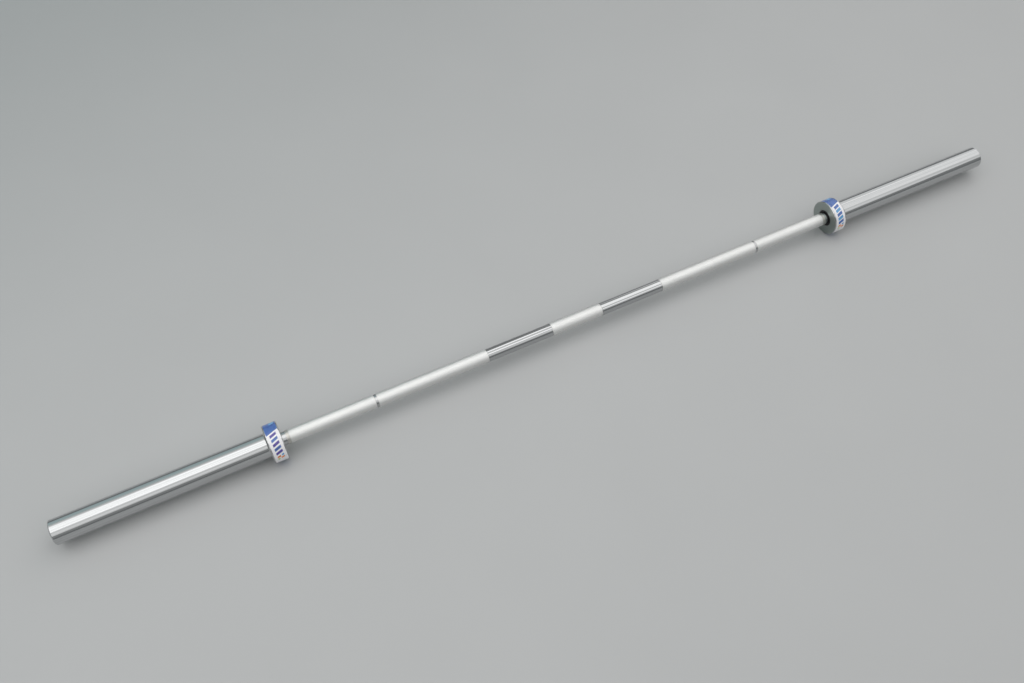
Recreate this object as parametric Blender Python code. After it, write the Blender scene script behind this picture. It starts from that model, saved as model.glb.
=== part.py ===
"""A men's weightlifting barbell, as its separate pieces.

A long shaft with three knurled bands carries a sleeve at each end. Each sleeve is one turned piece
with its collar, and spins on the shaft's journal: two bronze bushings and four caged needle
bearings, held apart by spacer tubes. Going out, the stack is trapped between the shaft's shoulder
and a circlip near the shaft's end, each with a hard washer. A rubber seal closes the inboard mouth,
and a plug held by an inside circlip closes the outboard one. A thin coloured band lies in a shallow
recess round each collar's rim.

X runs along the bar, +Z is up, and the origin is the middle of the bar on its axis. Sizes below
are in millimetres, and the model is in metres.
"""

import math

import bmesh
import bpy

MM = 0.001

# The bar as a whole
BAR_LENGTH = 2200.0
BETWEEN_COLLARS = 1310.0

# The shaft
SHAFT_DIAMETER = 28.0
JOURNAL_DIAMETER = 25.0  # the turned-down end that runs inside a sleeve
SHOULDER_IN_COLLAR = 7.0  # from the collar's inboard face out to the step down to the journal
SHOULDER_CHAMFER = 0.4
SHAFT_END_CHAMFER = 1.0
KNURL_RISE = 0.15  # how far rolling raises the knurled bands
CENTRE_KNURL_LENGTH = 120.0
GRIP_KNURL_REACH = 445.0  # from the collar's face in to the grip knurl's inner end
KNURL_RELIEF = 8.0  # bare shaft between the collar and the grip knurl
MARK_FROM_COLLAR = 195.0
MARK_WIDTH = 5.0

# The sleeve and its collar
SLEEVE_DIAMETER = 50.0
SLEEVE_END_CHAMFER = 2.0
COLLAR_DIAMETER = 79.0
COLLAR_WIDTH = 30.0
COLLAR_INNER_CHAMFER = 1.0
COLLAR_OUTER_CHAMFER = 1.5
ROOT_FILLET = 3.0  # where the sleeve leaves the collar
MOUTH_CHAMFER = 0.5  # inside edge of both mouths

# The coloured band round the collar
BAND_LAND_INNER = 2.0  # bare rim left on the inboard side of the recess
BAND_LAND_OUTER = 2.6
BAND_RECESS = 0.8
BAND_SHY = 0.1  # how far the band stays below the bare rim

# The needle bearings
BEARINGS_PER_SLEEVE = 4
NEEDLE_DIAMETER = 2.5
NEEDLE_COUNT = 12
CUP_WALL = 1.0
CUP_LENGTH = 20.0
CUP_LIP = 0.8  # thickness of the turned-in ends that keep the cage in its cup
CUP_LIP_HEIGHT = 1.7
CAGE_WEB = 0.9  # thickness of the cage between two needles
NEEDLE_CREST = 0.5  # the flat crest of a faceted needle, as a share of the needle's width

# Bushings, spacers and thrust washers
BUSHING_LENGTH = 22.0
SPACER_WALL = 1.0
WASHER_THICKNESS = 2.0

# The rubber seal in the inboard mouth
SEAL_SECTION = 5.0  # from the shaft out to the seat's wall
SEAL_SEAT_DEPTH = 6.0
SEAL_SET_BACK = 0.8  # how far the seal's front lies behind the collar's face
SEAL_LIP_LEAN = 1.6

# What the two kinds of circlip share
CLIP_OPENING_DEG = 30.0
EAR_SPAN_DEG = 16.0
EAR_SLOPE_DEG = 3.0  # the slopes on both sides of an ear's tip
EAR_CORNER = 0.8  # how far the slope on the opening's side reaches down from the tip
CLIP_TAPER = 0.35  # the share of its width that a circlip loses from its middle to its ears
PLIER_HOLE_AT = 0.55  # how far up its ear a plier hole lies, as a share of the ear's whole height

# The circlip near the shaft's end
SHAFT_CLIP_THICKNESS = 1.3
SHAFT_CLIP_WIDTH = 2.8
SHAFT_CLIP_EAR = 1.7  # how far an ear stands out beyond the clip's slim end
SHAFT_CLIP_HOLE = 1.6
SHAFT_GROOVE_DEPTH = 1.25
SHAFT_BEYOND_GROOVE = 4.5
SHAFT_TO_PLUG = 5.0

# The plug in the outboard mouth and the circlip that holds it
PLUG_SEAT_DEPTH = 16.0
PLUG_SEAT_STEP = 2.0  # how much the plug's seat is larger than the bore, on the radius
PLUG_LENGTH = 10.0
PLUG_WALL = 2.5
PLUG_FRONT = 3.0
PLUG_CHAMFER = 0.8
PLUG_CLIP_THICKNESS = 1.5
PLUG_CLIP_WIDTH = 3.2
PLUG_CLIP_EAR = 3.0
PLUG_CLIP_HOLE = 2.2
PLUG_GROOVE_DEPTH = 1.3

# Clearances
SEAT_GAP = 0.3  # between pieces that touch or are pressed together
RUN_GAP = 0.2  # between surfaces that turn past each other

# How finely round things are faceted. A multiple of four puts a flat facet straight down.
RIM_SIDES = 32
SHAFT_SIDES = 24
INNER_SIDES = 20
CLIP_STEPS = 16
FILLET_STEPS = 2
SHARP_EDGE_DEG = 30.0  # edges that turn by more than this are shaded sharp

# How large an axis is drawn
AXIS_MARK = 50.0

SLEEVE_LENGTH = (BAR_LENGTH - BETWEEN_COLLARS) / 2
BORE_DIAMETER = JOURNAL_DIAMETER + 2 * (NEEDLE_DIAMETER + CUP_WALL)

CHROME = ((0.78, 0.79, 0.80), 0.12, 1.0)
SATIN_CHROME = ((0.70, 0.70, 0.69), 0.32, 1.0)
BAND_WHITE = ((0.88, 0.88, 0.90), 0.25, 0.0)
RUBBER = ((0.02, 0.02, 0.02), 0.6, 0.0)
BEARING_STEEL = ((0.55, 0.56, 0.57), 0.25, 1.0)
BRONZE = ((0.60, 0.40, 0.20), 0.35, 1.0)
SPRING_STEEL = ((0.13, 0.13, 0.14), 0.4, 1.0)
TUBE_STEEL = ((0.42, 0.43, 0.44), 0.4, 1.0)
PLUG_STEEL = ((0.66, 0.67, 0.68), 0.3, 1.0)


def corner_radius(facet_radius, half_step):
    """How far a faceted circle's corners lie from its middle.

    facet_radius is the distance to the middle of a facet, and a facet spans twice the half step.
    """
    return facet_radius / math.cos(half_step)


def facet_radius_within(limit, sides):
    """The radius for a turned surface whose corners have to stay inside a limit."""
    return limit * math.cos(math.pi / sides)


def finish(name, colour, roughness, metallic):
    """A material of its own for one piece."""
    material = bpy.data.materials.new(name)
    material.use_nodes = True
    shader = material.node_tree.nodes["Principled BSDF"]
    shader.inputs["Base Color"].default_value = (*colour, 1.0)
    shader.inputs["Roughness"].default_value = roughness
    shader.inputs["Metallic"].default_value = metallic
    return material


def add_piece(name, mesh_maker, look, holder=None, along=0.0):
    """Makes one named object from a mesh maker, that far along the holder's axis."""
    shape = bmesh.new()
    mesh_maker(shape)
    bmesh.ops.recalc_face_normals(shape, faces=shape.faces)
    mesh = bpy.data.meshes.new(name)
    shape.to_mesh(mesh)
    shape.free()
    mesh.shade_smooth()
    mesh.set_sharp_from_angle(angle=math.radians(SHARP_EDGE_DEG))
    mesh.materials.append(finish(name, *look))
    piece = bpy.data.objects.new(name, mesh)
    bpy.context.scene.collection.objects.link(piece)
    piece.parent = holder
    piece.location = (along * MM, 0.0, 0.0)
    return piece


def add_axis(name, side_sign):
    """An empty on the bar's axis at a collar's inboard face, with +X pointing outboard."""
    axis = bpy.data.objects.new(name, None)
    bpy.context.scene.collection.objects.link(axis)
    axis.empty_display_size = AXIS_MARK * MM
    axis.location = (side_sign * BETWEEN_COLLARS / 2 * MM, 0.0, 0.0)
    axis.rotation_euler = (0.0, 0.0, 0.0 if side_sign > 0 else math.pi)
    return axis


def turned(profile, sides):
    """A mesh maker that turns a profile of (x, radius) points about the X axis.

    The radii are the real ones, which the middles of the facets reach. A profile that starts and
    ends on the axis makes a solid, and any other is closed into a ring.
    """

    def make(shape):
        rings = []
        for x, radius in profile:
            if radius == 0.0:
                rings.append([shape.verts.new((x * MM, 0.0, 0.0))])
                continue
            ring = []
            corner = corner_radius(radius, math.pi / sides)
            for i in range(sides):
                turn = (i + 0.5) * 2 * math.pi / sides
                y = corner * math.cos(turn)
                z = corner * math.sin(turn)
                ring.append(shape.verts.new((x * MM, y * MM, z * MM)))
            rings.append(ring)
        pairs = list(zip(rings, rings[1:]))
        if profile[0][1] > 0.0:
            pairs.append((rings[-1], rings[0]))
        for near, far in pairs:
            for i in range(sides):
                j = (i + 1) % sides
                corners = [near[i % len(near)], far[i % len(far)]]
                corners += [far[j % len(far)], near[j % len(near)]]
                shape.faces.new(dict.fromkeys(corners))

    return make


def tube(length, outer, inner, sides):
    """A mesh maker for a plain tube or washer, from x = 0 to its length."""
    return turned([(0.0, inner), (0.0, outer), (length, outer), (length, inner)], sides)


def circlip(seat, thickness, width, ear, hole, ears_point_out):
    """A mesh maker for a flat circlip: widest opposite its opening, with a drilled ear at each end.

    seat is the radius of the edge that lies in the groove, and the clip grows away from it. Its
    middle points straight down and its opening up.
    """
    outward = 1 if ears_point_out else -1
    body_end = CLIP_STEP * CLIP_STEPS / 2
    span = math.radians(EAR_SPAN_DEG)
    slope = math.radians(EAR_SLOPE_DEG)
    tip = width * (1.0 - CLIP_TAPER) + ear
    hole_reach = tip * PLIER_HOLE_AT
    hole_radius = seat + outward * hole_reach

    def make(shape):
        def column(turn, reach):
            """The points on both flat faces, at an angle from the middle and a reach from the seat."""
            y = (seat + outward * reach) * math.sin(turn)
            z = -(seat + outward * reach) * math.cos(turn)
            return [shape.verts.new((x * MM, y * MM, z * MM)) for x in (0.0, thickness)]

        def add_wall(here, there):
            shape.faces.new((here[0], there[0], there[1], here[1]))

        def add_flats(*columns):
            for level in (0, 1):
                shape.faces.new([corner[level] for corner in columns])

        body = []
        for i in range(CLIP_STEPS + 1):
            turn = i * CLIP_STEP - body_end
            reach = width * (1.0 - CLIP_TAPER * abs(turn) / body_end)
            body.append((column(turn, 0.0), column(turn, reach)))
        for near, far in zip(body, body[1:]):
            add_flats(near[0], near[1], far[1], far[0])
            add_wall(near[0], far[0])
            add_wall(near[1], far[1])

        for way, body_side in ((-1, body[0]), (1, body[-1])):
            rim = list(body_side)
            for along, reach in (
                (slope, tip),
                (span - slope, tip),
                (span, tip - EAR_CORNER),
                (span, tip / 2),
                (span, 0.0),
                (span / 2, 0.0),
            ):
                rim.append(column(way * (body_end + along), reach))
            # The plier hole has as many corners as its rim, and its first one looks at the rim's first
            drilled = []
            for k in range(len(rim)):
                away = math.pi / 4 - 2 * math.pi * k / len(rim)
                along = span / 2 - hole / 2 * math.cos(away) / hole_radius
                reach = hole_reach - hole / 2 * math.sin(away)
                drilled.append(column(way * (body_end + along), reach))
            for k in range(len(rim)):
                m = (k + 1) % len(rim)
                add_flats(rim[k], rim[m], drilled[m], drilled[k])
                add_wall(drilled[k], drilled[m])
                if k > 0:
                    add_wall(rim[k], rim[m])

    return make


def needle_cage(length, inner, outer, web):
    """A mesh maker for a needle bearing's cage with its needles in it, as one lobed ring.

    The needles reach from the inner radius to the outer one, and the cage's web joins them
    halfway between. A needle has six sides: two flat crests, and two slopes down to the web on
    each side.
    """
    pitch = (inner + outer) / 2
    step = 2 * math.pi / NEEDLE_COUNT
    foot = (outer - inner) / 2 / pitch
    crest = foot * NEEDLE_CREST

    def make(shape):
        loops = {}
        for x in (0.0, length):
            for key, foot_radius, crest_radius in (
                ("in", pitch - web / 2, inner),
                ("out", pitch + web / 2, outer),
            ):
                loop = []
                for i in range(NEEDLE_COUNT):
                    for turn, radius in (
                        (i * step - foot, foot_radius),
                        (i * step - crest, crest_radius),
                        (i * step + crest, crest_radius),
                        (i * step + foot, foot_radius),
                    ):
                        y = radius * math.cos(turn)
                        z = radius * math.sin(turn)
                        loop.append(shape.verts.new((x * MM, y * MM, z * MM)))
                loops[key, x] = loop
        around = [loops["in", 0.0], loops["out", 0.0], loops["out", length], loops["in", length]]
        for near, far in zip(around, around[1:] + around[:1]):
            for i in range(len(near)):
                j = (i + 1) % len(near)
                shape.faces.new((near[i], far[i], far[j], near[j]))

    return make


# Where things lie along a sleeve, measured outboard from its collar's inboard face
PLUG_FLOOR = SLEEVE_LENGTH - PLUG_SEAT_DEPTH
SHAFT_END = PLUG_FLOOR - SHAFT_TO_PLUG
SHAFT_GROOVE_OUT = SHAFT_END - SHAFT_BEYOND_GROOVE
SHAFT_GROOVE_IN = SHAFT_GROOVE_OUT - SHAFT_CLIP_THICKNESS - 2 * SEAT_GAP
SHAFT_CLIP_AT = SHAFT_GROOVE_IN + SEAT_GAP
OUTER_WASHER_AT = SHAFT_CLIP_AT - SEAT_GAP - WASHER_THICKNESS
OUTER_BUSHING_AT = OUTER_WASHER_AT - SEAT_GAP - BUSHING_LENGTH
INNER_WASHER_AT = SHOULDER_IN_COLLAR + SEAT_GAP
INNER_BUSHING_AT = INNER_WASHER_AT + WASHER_THICKNESS + SEAT_GAP
STACK_START = INNER_BUSHING_AT + BUSHING_LENGTH + SEAT_GAP
STACK_LENGTH = OUTER_BUSHING_AT - SEAT_GAP - STACK_START
SPACERS_PER_SLEEVE = BEARINGS_PER_SLEEVE - 1
SPACER_LENGTH = (
    STACK_LENGTH - BEARINGS_PER_SLEEVE * CUP_LENGTH - 2 * SPACERS_PER_SLEEVE * SEAT_GAP
) / SPACERS_PER_SLEEVE
STACK_PITCH = CUP_LENGTH + SPACER_LENGTH + 2 * SEAT_GAP
PLUG_AT = PLUG_FLOOR + SEAT_GAP
PLUG_GROOVE_IN = PLUG_AT + PLUG_LENGTH
PLUG_CLIP_AT = PLUG_GROOVE_IN + SEAT_GAP
PLUG_GROOVE_OUT = PLUG_CLIP_AT + PLUG_CLIP_THICKNESS + SEAT_GAP

# Radii that several pieces share
SHAFT_RADIUS = SHAFT_DIAMETER / 2
JOURNAL_RADIUS = JOURNAL_DIAMETER / 2
BORE_RADIUS = BORE_DIAMETER / 2
SEAL_SEAT_RADIUS = SHAFT_RADIUS + SEAL_SECTION
PLUG_SEAT_RADIUS = BORE_RADIUS + PLUG_SEAT_STEP
PRESSED_RADIUS = facet_radius_within(BORE_RADIUS - SEAT_GAP, INNER_SIDES)
RUNNING_RADIUS = corner_radius(JOURNAL_RADIUS, math.pi / SHAFT_SIDES) + RUN_GAP
RACE_RADIUS = JOURNAL_RADIUS + NEEDLE_DIAMETER
CLIP_STEP = math.radians(360.0 - CLIP_OPENING_DEG - 2 * EAR_SPAN_DEG) / CLIP_STEPS


def shaft_profile():
    """The shaft from its left end to its right end, with its journals, shoulders and knurl."""
    half = BETWEEN_COLLARS / 2
    raised = SHAFT_RADIUS + KNURL_RISE
    centre_knurl = CENTRE_KNURL_LENGTH / 2
    grip_start = half - GRIP_KNURL_REACH
    mark_out = half - MARK_FROM_COLLAR
    mark_in = mark_out - MARK_WIDTH
    grip_end = half - KNURL_RELIEF
    shoulder = half + SHOULDER_IN_COLLAR
    step_down = SHAFT_RADIUS - JOURNAL_RADIUS
    chamfer = min(SHOULDER_CHAMFER, step_down / 2)
    groove_radius = JOURNAL_RADIUS - SHAFT_GROOVE_DEPTH
    end = half + SHAFT_END
    right_half = [
        (centre_knurl, raised),
        (centre_knurl, SHAFT_RADIUS),
        (grip_start, SHAFT_RADIUS),
        (grip_start, raised),
        (mark_in, raised),
        (mark_in, SHAFT_RADIUS),
        (mark_out, SHAFT_RADIUS),
        (mark_out, raised),
        (grip_end, raised),
        (grip_end, SHAFT_RADIUS),
        (shoulder - chamfer, SHAFT_RADIUS),
        (shoulder, SHAFT_RADIUS - chamfer),
        (shoulder, JOURNAL_RADIUS),
        (half + SHAFT_GROOVE_IN, JOURNAL_RADIUS),
        (half + SHAFT_GROOVE_IN, groove_radius),
        (half + SHAFT_GROOVE_OUT, groove_radius),
        (half + SHAFT_GROOVE_OUT, JOURNAL_RADIUS),
        (end - SHAFT_END_CHAMFER, JOURNAL_RADIUS),
        (end, JOURNAL_RADIUS - SHAFT_END_CHAMFER),
        (end, 0.0),
    ]
    left_half = [(-x, radius) for x, radius in reversed(right_half)]
    return left_half + right_half


def sleeve_profile():
    """A sleeve with its collar: the outside going outboard, then the bore coming back."""
    collar = COLLAR_DIAMETER / 2
    outside = SLEEVE_DIAMETER / 2
    recess = collar - BAND_RECESS
    recess_end = COLLAR_WIDTH - BAND_LAND_OUTER
    fillet = []
    for i in range(FILLET_STEPS + 1):
        away = math.pi / 2 * i / FILLET_STEPS
        x = COLLAR_WIDTH + ROOT_FILLET * (1 - math.cos(away))
        fillet.append((x, outside + ROOT_FILLET * (1 - math.sin(away))))
    groove = PLUG_SEAT_RADIUS + PLUG_GROOVE_DEPTH
    return [
        (0.0, SEAL_SEAT_RADIUS + MOUTH_CHAMFER),
        (0.0, collar - COLLAR_INNER_CHAMFER),
        (COLLAR_INNER_CHAMFER, collar),
        (BAND_LAND_INNER, collar),
        (BAND_LAND_INNER, recess),
        (recess_end, recess),
        (recess_end, collar),
        (COLLAR_WIDTH - COLLAR_OUTER_CHAMFER, collar),
        (COLLAR_WIDTH, collar - COLLAR_OUTER_CHAMFER),
        *fillet,
        (SLEEVE_LENGTH - SLEEVE_END_CHAMFER, outside),
        (SLEEVE_LENGTH, outside - SLEEVE_END_CHAMFER),
        (SLEEVE_LENGTH, PLUG_SEAT_RADIUS + MOUTH_CHAMFER),
        (SLEEVE_LENGTH - MOUTH_CHAMFER, PLUG_SEAT_RADIUS),
        (PLUG_GROOVE_OUT, PLUG_SEAT_RADIUS),
        (PLUG_GROOVE_OUT, groove),
        (PLUG_GROOVE_IN, groove),
        (PLUG_GROOVE_IN, PLUG_SEAT_RADIUS),
        (PLUG_FLOOR, PLUG_SEAT_RADIUS),
        (PLUG_FLOOR, BORE_RADIUS),
        (SEAL_SEAT_DEPTH, BORE_RADIUS),
        (SEAL_SEAT_DEPTH, SEAL_SEAT_RADIUS),
        (MOUTH_CHAMFER, SEAL_SEAT_RADIUS),
    ]


def seal_profile():
    """The rubber seal: a square ring with its front drawn in to a lip that wipes the shaft."""
    depth = SEAL_SEAT_DEPTH - SEAL_SET_BACK - SEAT_GAP
    outer = SEAL_SEAT_RADIUS - SEAT_GAP
    lip = corner_radius(SHAFT_RADIUS, math.pi / SHAFT_SIDES) + RUN_GAP
    return [
        (0.0, outer),
        (depth, outer),
        (depth, lip),
        (SEAL_LIP_LEAN, lip),
        (0.0, lip + SEAL_LIP_LEAN),
    ]


def cup_profile():
    """A drawn cup: a thin hard wall with a lip turned in at each end."""
    lip = RACE_RADIUS - CUP_LIP_HEIGHT
    return [
        (0.0, lip),
        (0.0, PRESSED_RADIUS),
        (CUP_LENGTH, PRESSED_RADIUS),
        (CUP_LENGTH, lip),
        (CUP_LENGTH - CUP_LIP, lip),
        (CUP_LENGTH - CUP_LIP, RACE_RADIUS),
        (CUP_LIP, RACE_RADIUS),
        (CUP_LIP, lip),
    ]


def plug_profile():
    """The plug: a flat front outboard, with a skirt that goes back to the seat's floor."""
    outer = PLUG_SEAT_RADIUS - SEAT_GAP
    return [
        (PLUG_LENGTH - PLUG_FRONT, 0.0),
        (PLUG_LENGTH - PLUG_FRONT, outer - PLUG_WALL),
        (0.0, outer - PLUG_WALL),
        (0.0, outer),
        (PLUG_LENGTH - PLUG_CHAMFER, outer),
        (PLUG_LENGTH, outer - PLUG_CHAMFER),
        (PLUG_LENGTH, 0.0),
    ]


def add_needle_bearing(side, number, sleeve_axis, cage_axis):
    """One cup in the sleeve's bore, with its cage of needles inside."""
    at = STACK_START + (number - 1) * STACK_PITCH
    cup = turned(cup_profile(), INNER_SIDES)
    add_piece(f"{side}_bearing_cup_{number}", cup, BEARING_STEEL, sleeve_axis, at)
    cage = needle_cage(
        CUP_LENGTH - 2 * (CUP_LIP + SEAT_GAP),
        RUNNING_RADIUS,
        RACE_RADIUS - RUN_GAP,
        CAGE_WEB,
    )
    cage_at = at + CUP_LIP + SEAT_GAP
    add_piece(f"{side}_needle_cage_{number}", cage, BEARING_STEEL, cage_axis, cage_at)


def add_spacer(side, number, sleeve_axis):
    """The tube that keeps two bearings apart."""
    at = STACK_START + (number - 1) * STACK_PITCH + CUP_LENGTH + SEAT_GAP
    spacer = tube(SPACER_LENGTH, PRESSED_RADIUS, PRESSED_RADIUS - SPACER_WALL, INNER_SIDES)
    add_piece(f"{side}_spacer_{number}", spacer, TUBE_STEEL, sleeve_axis, at)


def add_marking_band(side, sleeve_axis):
    """The thin coloured band in the recess of the collar's rim."""
    outer = COLLAR_DIAMETER / 2 - BAND_SHY
    inner = COLLAR_DIAMETER / 2 - BAND_RECESS + SEAT_GAP
    width = COLLAR_WIDTH - BAND_LAND_INNER - BAND_LAND_OUTER - 2 * SEAT_GAP
    band = tube(width, outer, inner, RIM_SIDES)
    at = BAND_LAND_INNER + SEAT_GAP
    add_piece(f"{side}_marking_band", band, BAND_WHITE, sleeve_axis, at)


def add_thrust_parts(side, sleeve_axis):
    """The two bushings and the two washers that carry the sleeve's end load."""
    bushing = tube(BUSHING_LENGTH, PRESSED_RADIUS, RUNNING_RADIUS, INNER_SIDES)
    washer = tube(WASHER_THICKNESS, PRESSED_RADIUS, RUNNING_RADIUS, INNER_SIDES)
    add_piece(f"{side}_inner_washer", washer, BEARING_STEEL, sleeve_axis, INNER_WASHER_AT)
    add_piece(f"{side}_inner_bushing", bushing, BRONZE, sleeve_axis, INNER_BUSHING_AT)
    add_piece(f"{side}_outer_bushing", bushing, BRONZE, sleeve_axis, OUTER_BUSHING_AT)
    add_piece(f"{side}_outer_washer", washer, BEARING_STEEL, sleeve_axis, OUTER_WASHER_AT)


def add_plug(side, sleeve_axis):
    """The plug in the outboard mouth, and the circlip in front of it."""
    plug = turned(plug_profile(), RIM_SIDES)
    add_piece(f"{side}_end_plug", plug, PLUG_STEEL, sleeve_axis, PLUG_AT)
    seat = PLUG_SEAT_RADIUS + PLUG_GROOVE_DEPTH - SEAT_GAP
    sizes = (PLUG_CLIP_THICKNESS, PLUG_CLIP_WIDTH, PLUG_CLIP_EAR, PLUG_CLIP_HOLE)
    clip = circlip(seat, *sizes, ears_point_out=False)
    add_piece(f"{side}_plug_circlip", clip, SPRING_STEEL, sleeve_axis, PLUG_CLIP_AT)


def add_shaft_circlip(side, end_axis):
    """The circlip in the groove near the shaft's end."""
    groove = corner_radius(JOURNAL_RADIUS - SHAFT_GROOVE_DEPTH, math.pi / SHAFT_SIDES)
    seat = corner_radius(groove + SEAT_GAP, CLIP_STEP / 2)
    sizes = (SHAFT_CLIP_THICKNESS, SHAFT_CLIP_WIDTH, SHAFT_CLIP_EAR, SHAFT_CLIP_HOLE)
    clip = circlip(seat, *sizes, ears_point_out=True)
    add_piece(f"{side}_shaft_circlip", clip, SPRING_STEEL, end_axis, SHAFT_CLIP_AT)


def add_end(side, side_sign):
    """Everything on one end of the shaft."""
    end_axis = add_axis(f"{side}_shaft_end", side_sign)
    sleeve_axis = add_axis(f"{side}_sleeve_axis", side_sign)
    cage_axis = add_axis(f"{side}_cage_axis", side_sign)
    add_piece(f"{side}_sleeve", turned(sleeve_profile(), RIM_SIDES), CHROME, sleeve_axis)
    add_marking_band(side, sleeve_axis)
    seal = turned(seal_profile(), RIM_SIDES)
    add_piece(f"{side}_dust_seal", seal, RUBBER, sleeve_axis, SEAL_SET_BACK)
    add_thrust_parts(side, sleeve_axis)
    for number in range(1, BEARINGS_PER_SLEEVE + 1):
        add_needle_bearing(side, number, sleeve_axis, cage_axis)
    for number in range(1, SPACERS_PER_SLEEVE + 1):
        add_spacer(side, number, sleeve_axis)
    add_shaft_circlip(side, end_axis)
    add_plug(side, sleeve_axis)


def build_barbell():
    for old in list(bpy.data.objects):
        bpy.data.objects.remove(old)
    add_piece("shaft", turned(shaft_profile(), SHAFT_SIDES), SATIN_CHROME)
    add_end("left", -1)
    add_end("right", 1)


build_barbell()
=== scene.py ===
"""The looks of a men's weightlifting barbell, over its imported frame.

Every solid of the frame is replaced by a finer piece in the same place and with the same main
sizes, with diamond knurling on the shaft and round needles in the bearings. X runs along the bar,
+Z is up, and the origin is the middle of the bar on its axis. Sizes are in millimetres, and pieces
are made in metres.
"""

import math

import bmesh
import bpy
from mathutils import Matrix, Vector


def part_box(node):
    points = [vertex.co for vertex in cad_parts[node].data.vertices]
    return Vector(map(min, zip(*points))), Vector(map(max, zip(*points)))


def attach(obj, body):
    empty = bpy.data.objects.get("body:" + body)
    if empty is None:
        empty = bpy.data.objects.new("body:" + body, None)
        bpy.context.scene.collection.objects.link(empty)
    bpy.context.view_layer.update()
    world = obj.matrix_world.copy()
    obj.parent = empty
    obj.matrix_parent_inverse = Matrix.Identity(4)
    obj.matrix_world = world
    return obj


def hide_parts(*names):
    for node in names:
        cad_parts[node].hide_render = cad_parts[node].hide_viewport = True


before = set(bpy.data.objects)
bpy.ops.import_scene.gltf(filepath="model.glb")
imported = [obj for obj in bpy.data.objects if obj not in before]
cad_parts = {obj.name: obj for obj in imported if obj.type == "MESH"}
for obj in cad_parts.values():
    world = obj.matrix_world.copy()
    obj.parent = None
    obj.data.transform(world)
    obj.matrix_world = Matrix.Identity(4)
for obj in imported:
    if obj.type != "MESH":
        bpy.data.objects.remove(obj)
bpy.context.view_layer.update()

MM = 0.001
SIDES = {"left": -1, "right": 1}
BAKE_MAP = "OFBake"
BAKE_EDGE, BAKE_SPAN = 0.002, 0.996  # the bake map is used from just inside one edge to the other
SEAT_GAP = 0.3  # between a circlip and each side of its groove

# Shaft
COLLAR_FACE = 655.0  # from the middle of the bar to a collar's inboard face
SHAFT_R = 14.0
JOURNAL_R = 12.5
CORE_R = 13.6  # the shaft's body under the knurling
KNURL_PEAK_R = 14.15
KNURL_VALLEY_R = 13.90
KNURL_PITCH = 2.75  # along the bar
KNURL_AROUND = 56
KNURL_FLAT = 0.38  # the share of a diamond that its blunt top takes
KNURL_SUNK = 0.3  # how far a knurled band reaches into the core
STEP_EDGE = 0.15  # the rounding of the smooth runs' edges
CENTRE_KNURL = 60.0
GRIP_IN = 210.0
MARK_IN = 455.0
MARK_OUT = 460.0
GRIP_OUT = 647.0
RUN_OUT = 6.0  # the plain satin ring in which a grip's knurling ends near its collar
RUN_OUT_R = 14.08
SHOULDER = 662.0
SHAFT_END = 1079.0
SHAFT_CHAMFER = 1.0
SHAFT_GROOVE = 1.25  # the depth of the groove for the shaft's circlip
RUNNING_R = 12.75  # the radius of the washers' and bushings' bores, round the journal

# Sleeve and collar, measured outboard from the collar's inboard face
SLEEVE_LENGTH = 445.0
SLEEVE_R = 25.0
BORE_R = 16.0
COLLAR_R = 39.5
COLLAR_WIDTH = 30.0
INBOARD_CHAMFER, OUTBOARD_CHAMFER = 1.0, 1.5  # round the collar
ROOT_FILLET = 3.0  # where the sleeve leaves the collar
END_CHAMFER = 2.0
MOUTH_CHAMFER = 0.5  # round the openings at both ends
BAND_FROM, BAND_TO, BAND_DEPTH = 2.0, 27.4, 0.8
SEAL_SEAT_R, SEAL_SEAT_DEPTH = 19.0, 6.0
PLUG_SEAT_R, PLUG_SEAT_DEPTH = 18.0, 16.0
PLUG_GROOVE = 1.3  # the depth of the groove for the plug's circlip
SPACER_WALL = 1.0

# Needles and their cage
NEEDLES = 12
PITCH_R = 13.75
NEEDLE_R = 1.15
POCKET_GAP = 0.12  # between a needle and the cage's bars

# What the circlips share, with angles in degrees
CLIP_HALF = 149.0  # from a circlip's middle to where its ears start
CLIP_EAR = 16.0
CLIP_RAMP = 3.0  # the slopes on both sides of an ear's tip
CLIP_TAPER = 0.35  # the share of its width that a circlip loses towards its ears
CLIP_HOLE_AT = 0.55  # how far up its ear a plier hole lies


def unit(a, b):
    """The direction from a to b, and how far it is."""
    dx, dr = b[0] - a[0], b[1] - a[1]
    length = math.hypot(dx, dr)
    return (dx / length, dr / length), length


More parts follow.
